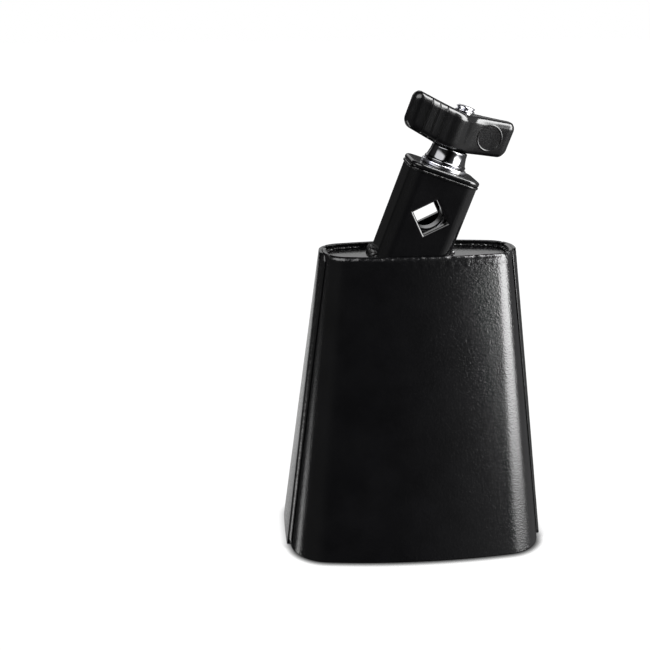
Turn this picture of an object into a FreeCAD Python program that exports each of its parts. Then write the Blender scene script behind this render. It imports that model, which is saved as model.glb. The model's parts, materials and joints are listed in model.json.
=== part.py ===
# Cowbell with a welded clamp bracket, an eye bolt and a wing nut.
# Millimetres, +Z up. Origin: centre of the mouth, on the surface the bell stands on.
# +X to the right along the wide side, the front face looks towards -Y.
import FreeCAD, Part
import math
import os

import Sketcher

doc = FreeCAD.newDocument("Cowbell")

# ---------------------------------------------------------------- driving dimensions

DIMENSIONS = [
    ("bell_height", 127.0, "mouth to rim, 5 in"),
    ("sheet_thickness", 1.4, "steel of both shells"),
    ("mouth_half_width", 55.8, "X, outside, at the mouth"),
    ("mouth_half_depth", 31.9, "Y, outside, at the mouth"),
    ("mouth_face_radius", 286.0, "bulge of the wide faces at the mouth"),
    ("mouth_side_radius", 348.0, "bulge of the narrow sides at the mouth"),
    ("mouth_corner_radius", 17.0, "outside corner at the mouth"),
    ("rim_half_width", 40.4, "X, outside, at the rim"),
    ("rim_half_depth", 13.9, "Y, outside, at the rim"),
    ("rim_face_radius", 175.0, "bulge of the wide faces at the rim"),
    ("rim_side_radius", 30.0, "bulge of the narrow sides at the rim"),
    ("rim_corner_radius", 10.0, "outside corner at the rim"),
    ("lap_gap", 0.15, "between the lapped side walls"),
    ("weld_gap", 0.02, "welds to the sheet's cut edges"),
    ("lap_width", 8.0, "how far the front half tucks under the rear half"),
    ("seam_mouth", 13.0, "rear half's edge in front of the centre plane, at the mouth"),
    ("seam_rim", 3.5, "the same at the rim"),
    ("notch_width", 0.9, "relief slit in the rim, Y"),
    ("notch_depth", 2.6, "relief slit in the rim, Z"),
    ("notch_back", 8.9, "slit centre behind the centre plane"),
    ("seam_weld_leg", 2.4, "run-out of the side weld on the front half"),
    ("seam_weld_dip", 0.2, "top of the side weld below the rear half's face"),
    ("crown_drop", 2.2, "crown plate below the rim"),
    ("crown_thickness", 2.0, "crown plate"),
    ("crown_gap", 0.15, "crown plate to the walls"),
    ("crown_weld_leg", 1.6, "fillet between the crown plate and the walls"),
    ("crown_weld_lip", 0.3, "flat top of that fillet"),
    ("weld_stop_left", 1.6, "crown weld ends this far short of the left foot weld"),
    ("weld_stop_right", 2.4, "the same on the right"),
    ("foot_x", -3.42, "where the bracket's axis meets the crown"),
    ("bracket_lean", 19.8, "degrees towards +X"),
    ("tube_width", 28.4, "bracket tube, along its own X"),
    ("tube_depth", 23.6, "bracket tube, Y"),
    ("tube_corner", 5.0, "outside corner of the tube"),
    ("tube_inner_corner", 2.0, "inside corner of the tube"),
    ("tube_wall", 3.0, "wall of the tube"),
    ("tube_length", 35.1, "along its axis, from the crown"),
    ("diamond_side", 10.4, "square hole set on its corner, for a 3/8 in rod"),
    ("diamond_up", 18.5, "hole centre along the axis"),
    ("foot_weld_leg", 2.2, "fillets at the sides of the foot"),
    ("cap_thickness", 2.2, "plate on the tube"),
    ("cap_overhang", 0.35, "cap beyond the tube, all round"),
    ("cap_weld_height", 0.8, "bead under the cap's edge"),
    ("cap_weld_dip", 0.1, "bead inside the cap's edge"),
    ("bolt_diameter", 7.94, "5/16 in stud"),
    ("bolt_hole", 8.7, "hole in the cap and the washer"),
    ("bolt_top", 62.9, "end of the stud along the axis"),
    ("eye_outer", 19.4, "ring of the eye bolt"),
    ("eye_inner", 12.6, "its bore, round a 3/8 in rod"),
    ("eye_thickness", 8.0, "Y"),
    ("eye_rounding", 2.0, "outer edges of the ring"),
    ("washer_outer", 18.6, "flat washer"),
    ("washer_thickness", 1.6, "flat washer"),
    ("turning_gap", 0.05, "between faces that turn on each other"),
    ("hub_base_radius", 8.6, "foot of the nut's hub"),
    ("hub_base_height", 1.5, "straight part of the hub"),
    ("hub_chamfer", 0.4, "bottom edge of the hub"),
    ("hub_neck_radius", 7.3, "where the hub goes into the handle"),
    ("hub_cone_height", 4.6, "cone of the hub"),
    ("hub_barrel_radius", 6.0, "part moulded into the handle"),
    ("hub_barrel_height", 11.0, "part moulded into the handle"),
    ("thread_clearance", 0.05, "radial, hub on stud"),
    ("handle_half_length", 22.9, "tip of a wing from the axis"),
    ("handle_thickness", 7.2, "across a wing"),
    ("handle_sweep", 11.0, "degrees, wings turned from the bracket's X"),
    ("handle_barrel_radius", 7.8, "middle of the handle"),
    ("handle_bottom", 0.3, "middle of the handle above the hub's neck"),
    ("handle_middle_height", 14.8, "height on the axis"),
    ("wing_rise_bottom", 3.4, "lower edge of a wing's tip above the middle"),
    ("wing_rise_top", 2.9, "upper edge of a wing's tip above the middle"),
    ("wing_corner", 3.2, "corners of the wings, seen from the side"),
    ("wing_end_radius", 3.2, "rounding of the wings' ends, seen from above"),
    ("wing_root", 6.8, "lower edge of the wings starts this far from the axis"),
    ("handle_hole", 8.9, "clearance for the stud through the handle"),
]

sheet = doc.addObject("Spreadsheet::Sheet", "Sizes")
for row, (alias, value, remark) in enumerate(DIMENSIONS, start=1):
    sheet.set(f"A{row}", str(value))
    sheet.setAlias(f"A{row}", alias)
    sheet.set(f"B{row}", remark)
doc.recompute()


def bound(expression):
    """The expression with S_ turned into the sheet's name."""
    return expression.replace("S_", sheet.Name + ".")


def size(expression):
    """Value of an expression in which S_ stands for the sheet."""
    result = sheet.evalExpression(bound(expression))
    return float(getattr(result, "Value", result))


# ---------------------------------------------------------------- sketch helpers

ORIGIN = (-1, 1)
START, END, CENTRE = 1, 2, 3


def new_body(label):
    body = doc.addObject("PartDesign::Body", label)
    body.Label = label
    return body


def plane_of(body, role):
    for feature in body.Origin.OriginFeatures:
        if feature.Role == role:
            return feature
    raise ValueError(role)


def new_sketch(body, name, role, offset="0"):
    """Empty sketch on one of the body's own planes, moved along its normal by offset."""
    sketch = body.newObject("Sketcher::SketchObject", name)
    sketch.AttachmentSupport = [(plane_of(body, role), "")]
    sketch.MapMode = "FlatFace"
    sketch.AttachmentOffset = FreeCAD.Placement(FreeCAD.Vector(0, 0, size(offset)), FreeCAD.Rotation())
    if offset != "0":
        sketch.setExpression("AttachmentOffset.Base.z", bound(offset))
    return sketch


def fix_distance(sketch, kind, point, expression):
    """Ties a point's X or Y to the sheet, measured from the sketch's origin."""
    value = size(expression)
    if value >= 0:
        index = sketch.addConstraint(Sketcher.Constraint(kind, *ORIGIN, *point, value))
        sketch.setExpression(f"Constraints[{index}]", bound(expression))
    else:
        index = sketch.addConstraint(Sketcher.Constraint(kind, *point, *ORIGIN, -value))
        sketch.setExpression(f"Constraints[{index}]", bound(f"-({expression})"))


def fix_point(sketch, point, x, y):
    for kind, expression in (("DistanceX", x), ("DistanceY", y)):
        fix_distance(sketch, kind, point, expression)


def fix_radius(sketch, geometry, expression):
    index = sketch.addConstraint(Sketcher.Constraint("Radius", geometry, size(expression)))
    sketch.setExpression(f"Constraints[{index}]", bound(expression))


def add_circle(sketch, x, y, radius):
    centre = FreeCAD.Vector(size(x), size(y), 0)
    circle = sketch.addGeometry(Part.Circle(centre, FreeCAD.Vector(0, 0, 1), size(radius)))
    fix_point(sketch, (circle, CENTRE), x, y)
    fix_radius(sketch, circle, radius)


def add_polygon(sketch, corners):
    """Closed outline of straight lines; each corner is a pair of expressions."""
    places = [FreeCAD.Vector(size(x), size(y), 0) for x, y in corners]
    lines = [sketch.addGeometry(Part.LineSegment(places[i], places[(i + 1) % len(places)]))
             for i in range(len(places))]
    for i, line in enumerate(lines):
        following = lines[(i + 1) % len(lines)]
        sketch.addConstraint(Sketcher.Constraint("Coincident", line, END, following, START))
        fix_point(sketch, (line, START), *corners[i])


def add_rounded_polygon(sketch, corners, radius):
    """Closed outline with one tangent arc of the given radius at every corner."""
    places = [FreeCAD.Vector(size(x), size(y), 0) for x, y in corners]
    bend = size(radius)
    count = len(places)
    trims = []
    for i, place in enumerate(places):
        back = (places[i - 1] - place).normalize()
        ahead = (places[(i + 1) % count] - place).normalize()
        half = back.getAngle(ahead) / 2
        reach = bend / math.tan(half)
        centre = place + (back + ahead).normalize() * (bend / math.sin(half))
        trims.append((place + back * reach, place + ahead * reach, centre))
    lines = [sketch.addGeometry(Part.LineSegment(trims[i][1], trims[(i + 1) % count][0]))
             for i in range(count)]
    for i, (first, last, centre) in enumerate(trims):
        middle = centre + (places[i] - centre).normalize() * bend
        arc = sketch.addGeometry(Part.Arc(first, middle, last))
        ends = (START, END)
        if arc_start(sketch, arc).distanceToPoint(first) > arc_start(sketch, arc).distanceToPoint(last):
            ends = (END, START)
        sketch.addConstraint(Sketcher.Constraint("Tangent", lines[i - 1], END, arc, ends[0]))
        sketch.addConstraint(Sketcher.Constraint("Tangent", arc, ends[1], lines[i], START))
        fix_radius(sketch, arc, radius)
    for i, (x, y) in enumerate(corners):
        corner = sketch.addGeometry(Part.Point(places[i]), True)
        fix_point(sketch, (corner, START), x, y)
        sketch.addConstraint(Sketcher.Constraint("PointOnObject", corner, START, lines[i]))
        sketch.addConstraint(Sketcher.Constraint("PointOnObject", corner, START, lines[i - 1]))


def arc_start(sketch, arc):
    return sketch.getPoint(arc, START)


def add_bell_outline(sketch, half_width, half_depth, face, side, corner):
    """Eight tangent arcs: two wide faces, two narrow sides and four corners, all bulged."""
    a, b, face_r, side_r, corner_r = (size(e) for e in (half_width, half_depth, face, side, corner))
    face_centre = FreeCAD.Vector(0, b - face_r, 0)
    side_centre = FreeCAD.Vector(a - side_r, 0, 0)
    corner_centre = tangent_centre(face_centre, face_r - corner_r, side_centre, side_r - corner_r)
    turn_face = math.atan2(corner_centre.y - face_centre.y, corner_centre.x - face_centre.x)
    turn_side = math.atan2(corner_centre.y - side_centre.y, corner_centre.x - side_centre.x)
    half = math.pi
    up = FreeCAD.Vector(0, 0, 1)

    def arc(x, y, radius, first, last):
        circle = Part.Circle(FreeCAD.Vector(x, y, 0), up, radius)
        return sketch.addGeometry(Part.ArcOfCircle(circle, first, last))

    cx, cy = corner_centre.x, corner_centre.y
    right = arc(side_centre.x, 0, side_r, -turn_side, turn_side)
    corners = [arc(cx, cy, corner_r, turn_side, turn_face)]
    back = arc(0, face_centre.y, face_r, turn_face, half - turn_face)
    corners.append(arc(-cx, cy, corner_r, half - turn_face, half - turn_side))
    left = arc(-side_centre.x, 0, side_r, half - turn_side, half + turn_side)
    corners.append(arc(-cx, -cy, corner_r, half + turn_side, half + turn_face))
    front = arc(0, -face_centre.y, face_r, half + turn_face, 2 * half - turn_face)
    corners.append(arc(cx, -cy, corner_r, -turn_face, -turn_side))

    ring = [right, corners[0], back, corners[1], left, corners[2], front, corners[3]]
    for i, piece in enumerate(ring):
        following = ring[(i + 1) % len(ring)]
        sketch.addConstraint(Sketcher.Constraint("Tangent", piece, END, following, START))
    fix_point(sketch, (right, CENTRE), f"{half_width} - ({side})", "0")
    fix_point(sketch, (left, CENTRE), f"({side}) - ({half_width})", "0")
    fix_point(sketch, (back, CENTRE), "0", f"{half_depth} - ({face})")
    fix_point(sketch, (front, CENTRE), "0", f"({face}) - ({half_depth})")
    for piece in (right, left):
        fix_radius(sketch, piece, side)
    for piece in (back, front):
        fix_radius(sketch, piece, face)
    for piece in corners:
        fix_radius(sketch, piece, corner)
    assert half / 2 > turn_face > turn_side > 0, "corner radius too large for this outline"


def tangent_centre(first, first_reach, second, second_reach):
    """Centre in the first quadrant at the given distances from two points."""
    along = second - first
    gap = along.Length
    along.normalize()
    step = (first_reach ** 2 - second_reach ** 2 + gap ** 2) / (2 * gap)
    rise = math.sqrt(first_reach ** 2 - step ** 2)
    across = FreeCAD.Vector(-along.y, along.x, 0)
    choices = [first + along * step + across * rise, first + along * step - across * rise]
    return max(choices, key=lambda place: place.x + place.y)


# ---------------------------------------------------------------- feature helpers

def pad(body, sketch, length, both_ways=False):
    feature = body.newObject("PartDesign::Pad", sketch.Name + "Pad")
    feature.Profile = sketch
    feature.Length = size(length)
    feature.setExpression("Length", bound(length))
    if both_ways:
        feature.SideType = "Symmetric"
    sketch.Visibility = False
    doc.recompute()
    return feature


def cut_through(body, sketch, length):
    """Pocket of the given overall length, half to each side of the sketch."""
    before = body.Shape.Volume
    feature = body.newObject("PartDesign::Pocket", sketch.Name + "Cut")
    feature.Profile = sketch
    feature.Type = "Length"
    feature.SideType = "Symmetric"
    feature.Length = size(length)
    feature.setExpression("Length", bound(length))
    doc.recompute()
    if not body.Shape.Volume < before - 1e-6:
        raise RuntimeError(f"{feature.Name} cuts nothing")
    return feature


def loft(body, kind, sections):
    before = body.Shape.Volume if body.Tip else 0.0
    feature = body.newObject(kind, sections[0].Name + "Loft")
    feature.Profile = sections[0]
    feature.Sections = sections[1:]
    feature.Ruled = True
    doc.recompute()
    if kind.endswith("SubtractiveLoft") and not body.Shape.Volume < before - 1e-6:
        raise RuntimeError(f"{feature.Name} cuts nothing")
    return feature


def revolve(body, sketch):
    feature = body.newObject("PartDesign::Revolution", sketch.Name + "Turned")
    feature.Profile = sketch
    feature.ReferenceAxis = (sketch, ["V_Axis"])
    feature.Angle = 360
    doc.recompute()
    return feature


def round_edges(body, base, edges, radius):
    feature = body.newObject("PartDesign::Fillet", body.Name + "Rounding")
    feature.Base = (base, edges)
    feature.Radius = size(radius)
    feature.setExpression("Radius", bound(radius))
    doc.recompute()
    return feature


def edges_where(feature, test):
    return [f"Edge{i}" for i, edge in enumerate(feature.Shape.Edges, start=1) if test(edge)]


def lean_on_crown(body):
    """Puts a body, drawn along +Z from the bracket's foot, on the leaning axis."""
    axis_lean = FreeCAD.Rotation(FreeCAD.Vector(0, 1, 0), size("S_bracket_lean"))
    foot = FreeCAD.Vector(size("S_foot_x"), 0, size("S_bell_height - S_crown_drop"))
    body.Placement = FreeCAD.Placement(foot, axis_lean)
    body.setExpression("Placement.Base.x", bound("S_foot_x"))
    body.setExpression("Placement.Base.z", bound("S_bell_height - S_crown_drop"))
    body.setExpression("Placement.Rotation.Angle", bound("S_bracket_lean"))


# ---------------------------------------------------------------- bell shells

def outline_sizes(end, inset, side_inset="0"):
    """Sizes of the bell's outline at 'mouth' or 'rim', moved in by inset; the narrow
    sides are moved in by side_inset more."""
    return (f"S_{end}_half_width - ({inset}) - ({side_inset})",
            f"S_{end}_half_depth - ({inset})",
            f"S_{end}_face_radius - ({inset})",
            f"S_{end}_side_radius - ({inset})",
            f"S_{end}_corner_radius - ({inset})")


def outline_at(body, name, end, height, inset, side_inset="0"):
    sketch = new_sketch(body, name, "XY_Plane", height)
    add_bell_outline(sketch, *outline_sizes(end, inset, side_inset))
    doc.recompute()
    return sketch


def shell_wall(body, side_inset):
    """Ruled, tapered wall of sheet thickness all round the bell."""
    prefix = body.Name
    for kind, inset in (("Additive", "0"), ("Subtractive", "S_sheet_thickness")):
        sections = [outline_at(body, f"{prefix}{kind}{end.capitalize()}", end, height, inset, side_inset)
                    for end, height in (("mouth", "0"), ("rim", "S_bell_height"))]
        loft(body, f"PartDesign::{kind}Loft", sections)


REACH = "100"
CUT_SPAN = "200"


def cut_beyond_line(body, name, at_mouth, at_rim, towards):
    """Removes what lies beyond a line in the YZ plane, drawn from mouth to rim."""
    sketch = new_sketch(body, name, "YZ_Plane")
    far = f"{towards} * {REACH}"
    add_polygon(sketch, [(at_mouth, "0"), (far, "0"), (far, "S_bell_height"), (at_rim, "S_bell_height")])
    doc.recompute()
    cut_through(body, sketch, CUT_SPAN)


# rear half: laps over the front half, with a relief slit in the rim at each back corner
rear_shell = new_body("rear_shell")
shell_wall(rear_shell, "0")
cut_beyond_line(rear_shell, "RearSeamLine", "-S_seam_mouth", "-S_seam_rim", "-1")
slit = new_sketch(rear_shell, "ReliefSlit", "YZ_Plane")
slit_low = "S_bell_height - S_notch_depth"
slit_front = "S_notch_back - S_notch_width / 2"
slit_back = "S_notch_back + S_notch_width / 2"
add_polygon(slit, [(slit_front, slit_low), (slit_back, slit_low),
                   (slit_back, "S_bell_height + 1"), (slit_front, "S_bell_height + 1")])
doc.recompute()
cut_through(rear_shell, slit, CUT_SPAN)

# front half: same faces, but its side walls are tucked inside the rear half's
front_shell = new_body("front_shell")
shell_wall(front_shell, "S_sheet_thickness + S_lap_gap")
cut_beyond_line(front_shell, "FrontLapLine", "S_lap_width - S_seam_mouth", "S_lap_width - S_seam_rim", "1")


# weld runs that fill the step at the lapped edges, one on each narrow side
def seam_weld(label, sign):
    body = new_body(label)
    sections = []
    for end, height in (("mouth", "0"), ("rim", "S_bell_height")):
        sketch = new_sketch(body, f"{label}{end.capitalize()}", "XY_Plane", height)
        inner = f"{sign} * (S_{end}_half_width - S_sheet_thickness - S_lap_gap)"
        outer = f"{sign} * (S_{end}_half_width - S_seam_weld_dip)"
        edge = f"-S_seam_{end} - S_weld_gap"
        run_out = f"-S_seam_{end} - S_seam_weld_leg"
        sagitta = (f"(S_seam_{end} + S_seam_weld_leg) * (S_seam_{end} + S_seam_weld_leg)"
                   f" / (2 * S_{end}_side_radius)")
        toe = f"{inner} - ({sign}) * {sagitta}"
        add_polygon(sketch, [(inner, edge), (outer, edge), (toe, run_out)])
        doc.recompute()
        sections.append(sketch)
    loft(body, "PartDesign::AdditiveLoft", sections)
    return body


left_seam_weld = seam_weld("left_seam_weld", "-1")
right_seam_weld = seam_weld("right_seam_weld", "1")

# ---------------------------------------------------------------- crown


def between(end_size, height):
    """Outline size at a height, on the straight taper from mouth to rim."""
    return (f"S_mouth_{end_size} + (S_rim_{end_size} - S_mouth_{end_size})"
            f" * ({height}) / S_bell_height")


def level_outline(body, name, height, inset, side_inset):
    """The bell's outline at any height, moved in by inset."""
    sketch = new_sketch(body, name, "XY_Plane", height)
    add_bell_outline(sketch,
                     f"{between('half_width', height)} - ({inset}) - ({side_inset})",
                     f"{between('half_depth', height)} - ({inset})",
                     f"{between('face_radius', height)} - ({inset})",
                     f"{between('side_radius', height)} - ({inset})",
                     f"{between('corner_radius', height)} - ({inset})")
    doc.recompute()
    return sketch


crown_top = "(S_bell_height - S_crown_drop)"
crown_bottom = "(S_bell_height - S_crown_drop - S_crown_thickness)"
plate_inset = "S_sheet_thickness + S_crown_gap"
plate_side_inset = "S_sheet_thickness + S_lap_gap"

crown_plate = new_body("crown_plate")
loft(crown_plate, "PartDesign::AdditiveLoft",
     [level_outline(crown_plate, "CrownBottom", crown_bottom, plate_inset, plate_side_inset),
      level_outline(crown_plate, "CrownTop", crown_top, plate_inset, plate_side_inset)])

# fillet weld round the inside corner of the recess, interrupted where the bracket stands
crown_weld = new_body("crown_weld")
weld_top = f"({crown_top} + S_crown_weld_leg)"
loft(crown_weld, "PartDesign::AdditiveLoft",
     [level_outline(crown_weld, "WeldFoot", crown_top, plate_inset, plate_side_inset),
      level_outline(crown_weld, "WeldHead", weld_top, plate_inset, plate_side_inset)])
loft(crown_weld, "PartDesign::SubtractiveLoft",
     [level_outline(crown_weld, "WeldToe", crown_top, f"{plate_inset} + S_crown_weld_leg", plate_side_inset),
      level_outline(crown_weld, "WeldLip", weld_top, f"{plate_inset} + S_crown_weld_lip", plate_side_inset)])
foot_clear = new_sketch(crown_weld, "FootClearance", "XZ_Plane")
foot_left = "S_foot_x - S_tube_width / 2 - S_foot_weld_leg - S_weld_stop_left"
foot_right = "S_foot_x + S_tube_width / 2 + S_foot_weld_leg + S_weld_stop_right"
add_polygon(foot_clear, [(foot_left, crown_bottom), (foot_right, crown_bottom),
                         (foot_right, "S_bell_height"), (foot_left, "S_bell_height")])
doc.recompute()
cut_through(crown_weld, foot_clear, CUT_SPAN)

# ---------------------------------------------------------------- bracket


def rectangle_corners(half_width, half_depth):
    return [(f"-({half_width})", f"-({half_depth})"), (half_width, f"-({half_depth})"),
            (half_width, half_depth), (f"-({half_width})", half_depth)]


tube_half_width = "S_tube_width / 2"
tube_half_depth = "S_tube_depth / 2"
BELOW_CROWN = "-7"

bracket_tube = new_body("bracket_tube")
tube_section = new_sketch(bracket_tube, "TubeSection", "XY_Plane", BELOW_CROWN)
add_rounded_polygon(tube_section, rectangle_corners(tube_half_width, tube_half_depth), "S_tube_corner")
add_rounded_polygon(tube_section, rectangle_corners(f"{tube_half_width} - S_tube_wall",
                                                    f"{tube_half_depth} - S_tube_wall"),
                    "S_tube_inner_corner")
doc.recompute()
pad(bracket_tube, tube_section, f"S_tube_length - ({BELOW_CROWN})")

# the foot is cut level, so that the leaning tube stands flat on the crown
foot_cut = new_sketch(bracket_tube, "FootCut", "XZ_Plane")
slope = "tan(S_bracket_lean * 1 deg)"
add_polygon(foot_cut, [(f"-{REACH}", f"-{REACH} * {slope}"), (f"-{REACH}", f"-{REACH}"),
                       (REACH, f"-{REACH}"), (REACH, f"{REACH} * {slope}")])
doc.recompute()
cut_through(bracket_tube, foot_cut, CUT_SPAN)

diamond = new_sketch(bracket_tube, "Diamond", "XZ_Plane")
half_diagonal = "S_diamond_side / sqrt(2)"
add_polygon(diamond, [(f"-({half_diagonal})", "S_diamond_up"), ("0", f"S_diamond_up - {half_diagonal}"),
                      (half_diagonal, "S_diamond_up"), ("0", f"S_diamond_up + {half_diagonal}")])
doc.recompute()
cut_through(bracket_tube, diamond, CUT_SPAN)
lean_on_crown(bracket_tube)


# fillet welds where the tube's two leaning sides meet the crown
def foot_weld(label, sign):
    body = new_body(label)
    sketch = new_sketch(body, f"{label}Section", "XZ_Plane")
    centre = f"{sign} * S_tube_width / (2 * cos(S_bracket_lean * 1 deg))"
    near = f"S_foot_x + {centre} + ({sign}) * S_weld_gap"
    far = f"{near} + ({sign}) * S_foot_weld_leg"
    high = f"{near} + S_foot_weld_leg * {slope}"
    add_polygon(sketch, [(near, crown_top), (far, crown_top), (high, f"{crown_top} + S_foot_weld_leg")])
    doc.recompute()
    pad(body, sketch, "S_tube_depth - 2 * S_tube_corner", both_ways=True)
    return body


left_foot_weld = foot_weld("left_foot_weld", "-1")
right_foot_weld = foot_weld("right_foot_weld", "1")

bracket_cap = new_body("bracket_cap")
cap_section = new_sketch(bracket_cap, "CapSection", "XY_Plane", "S_tube_length")
add_rounded_polygon(cap_section, rectangle_corners(f"{tube_half_width} + S_cap_overhang",
                                                   f"{tube_half_depth} + S_cap_overhang"),
                    "S_tube_corner + S_cap_overhang")
add_circle(cap_section, "0", "0", "S_bolt_hole / 2")
doc.recompute()
pad(bracket_cap, cap_section, "S_cap_thickness")
lean_on_crown(bracket_cap)

cap_weld = new_body("cap_weld")
cap_weld_section = new_sketch(cap_weld, "CapWeldSection", "XY_Plane", "S_tube_length - S_cap_weld_height")
bead_reach = "S_cap_overhang - S_cap_weld_dip"
add_rounded_polygon(cap_weld_section, rectangle_corners(f"{tube_half_width} + {bead_reach}",
                                                        f"{tube_half_depth} + {bead_reach}"),
                    f"S_tube_corner + {bead_reach}")
add_rounded_polygon(cap_weld_section, rectangle_corners(tube_half_width, tube_half_depth), "S_tube_corner")
doc.recompute()
pad(cap_weld, cap_weld_section, "S_cap_weld_height")
lean_on_crown(cap_weld)

# ---------------------------------------------------------------- clamp: eye bolt, washer and wing nut

cap_top = "(S_tube_length + S_cap_thickness)"
washer_bottom = f"({cap_top} + S_turning_gap)"
hub_bottom = f"({washer_bottom} + S_washer_thickness + S_turning_gap)"
hub_neck = f"({hub_bottom} + S_hub_base_height + S_hub_cone_height)"

eye_bolt = new_body("eye_bolt")
ring = new_sketch(eye_bolt, "EyeRing", "XZ_Plane")
add_circle(ring, "0", "S_diamond_up", "S_eye_outer / 2")
add_circle(ring, "0", "S_diamond_up", "S_eye_inner / 2")
doc.recompute()
ring_pad = pad(eye_bolt, ring, "S_eye_thickness", both_ways=True)
rim_edges = edges_where(ring_pad, lambda e: e.Closed and abs(e.Curve.Radius - size("S_eye_outer / 2")) < 1e-6)
round_edges(eye_bolt, ring_pad, rim_edges, "S_eye_rounding")
stud = new_sketch(eye_bolt, "Stud", "XY_Plane", "S_diamond_up + (S_eye_inner + S_eye_outer) / 4")
add_circle(stud, "0", "0", "S_bolt_diameter / 2")
doc.recompute()
pad(eye_bolt, stud, "S_bolt_top - S_diamond_up - (S_eye_inner + S_eye_outer) / 4")
lean_on_crown(eye_bolt)

flat_washer = new_body("flat_washer")
washer_section = new_sketch(flat_washer, "WasherSection", "XY_Plane", washer_bottom)
add_circle(washer_section, "0", "0", "S_washer_outer / 2")
add_circle(washer_section, "0", "0", "S_bolt_hole / 2")
doc.recompute()
pad(flat_washer, washer_section, "S_washer_thickness")
lean_on_crown(flat_washer)

nut_hub = new_body("nut_hub")
hub_profile = new_sketch(nut_hub, "HubProfile", "XZ_Plane")
bore = "S_bolt_diameter / 2 + S_thread_clearance"
cone_foot = f"{hub_bottom} + S_hub_base_height"
barrel_top = f"{hub_neck} + S_hub_barrel_height"
add_polygon(hub_profile, [(bore, hub_bottom), ("S_hub_base_radius - S_hub_chamfer", hub_bottom),
                          ("S_hub_base_radius", f"{hub_bottom} + S_hub_chamfer"),
                          ("S_hub_base_radius", cone_foot),
                          ("S_hub_neck_radius", hub_neck), ("S_hub_barrel_radius", hub_neck),
                          ("S_hub_barrel_radius", barrel_top), (bore, barrel_top)])
doc.recompute()
revolve(nut_hub, hub_profile)
lean_on_crown(nut_hub)

# handle: a barrel with two wings, trimmed to a flared side view with rounded corners
wing_handle = new_body("wing_handle")
handle_low = f"({hub_neck} + S_handle_bottom)"
handle_high = f"({handle_low} + S_handle_middle_height)"
handle_span = "S_handle_middle_height + S_wing_rise_top"

wings = new_sketch(wing_handle, "WingPlan", "XY_Plane", handle_low)
turn = "S_handle_sweep * 1 deg"


def wing_corner(along_sign, across_sign):
    """Corner of both wings' plan, turned by the sweep."""
    along = f"{along_sign} * S_handle_half_length"
    across = f"{across_sign} * S_handle_thickness / 2"
    return (f"{along} * cos({turn}) - {across} * sin({turn})",
            f"{along} * sin({turn}) + {across} * cos({turn})")


add_rounded_polygon(wings, [wing_corner("-1", "-1"), wing_corner("1", "-1"),
                            wing_corner("1", "1"), wing_corner("-1", "1")], "S_wing_end_radius")
doc.recompute()
pad(wing_handle, wings, handle_span)

barrel = new_sketch(wing_handle, "HandleBarrel", "XY_Plane", handle_low)
add_circle(barrel, "0", "0", "S_handle_barrel_radius")
doc.recompute()
pad(wing_handle, barrel, "S_handle_middle_height")

side_view = new_sketch(wing_handle, "HandleSideView", "XZ_Plane")
tip = "S_handle_half_length"
add_polygon(side_view, [(f"-{REACH}", "0"), (REACH, "0"), (REACH, REACH), (f"-{REACH}", REACH)])
add_rounded_polygon(side_view, [(f"-({tip})", f"{handle_low} + S_wing_rise_bottom"),
                                ("-S_wing_root", handle_low), ("S_wing_root", handle_low),
                                (tip, f"{handle_low} + S_wing_rise_bottom"),
                                (tip, f"{handle_high} + S_wing_rise_top"),
                                ("0", handle_high),
                                (f"-({tip})", f"{handle_high} + S_wing_rise_top")], "S_wing_corner")
doc.recompute()
cut_through(wing_handle, side_view, CUT_SPAN)

seat = new_sketch(wing_handle, "HubSeat", "XY_Plane", handle_low)
add_circle(seat, "0", "0", "S_hub_barrel_radius")
doc.recompute()
cut_through(wing_handle, seat, "2 * (S_hub_barrel_height - S_handle_bottom)")
stud_way = new_sketch(wing_handle, "StudWay", "XY_Plane", handle_low)
add_circle(stud_way, "0", "0", "S_handle_hole / 2")
doc.recompute()
cut_through(wing_handle, stud_way, CUT_SPAN)
lean_on_crown(wing_handle)

# ---------------------------------------------------------------- checks and export

SUB_PARTS = [front_shell, rear_shell, left_seam_weld, right_seam_weld, crown_plate, crown_weld,
             bracket_tube, left_foot_weld, right_foot_weld, bracket_cap, cap_weld,
             eye_bolt, flat_washer, nut_hub, wing_handle]

doc.recompute()
for item in doc.Objects:
    if "Invalid" in item.State or "Error" in item.State:
        raise RuntimeError(f"{item.Label} failed: {item.State}")
for part in SUB_PARTS:
    if part.Shape.isNull() or not part.Shape.isValid():
        raise RuntimeError(f"{part.Label} has no valid shape")

os.makedirs("parts", exist_ok=True)
for part in SUB_PARTS:
    part.Shape.exportStep(f"parts/{part.Label}.step")
    box = part.Shape.BoundBox
    print(f"{part.Label}: {len(part.Shape.Solids)} solid, {part.Shape.Volume:.0f} mm3,"
          f" x {box.XMin:.1f}..{box.XMax:.1f} y {box.YMin:.1f}..{box.YMax:.1f}"
          f" z {box.ZMin:.1f}..{box.ZMax:.1f}")
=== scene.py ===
"""Looks of a cowbell with its clamp bracket, eye bolt and wing nut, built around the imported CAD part."""
import json
import math

import bmesh
import bpy
import numpy as np
from mathutils import Matrix, Vector


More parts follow.
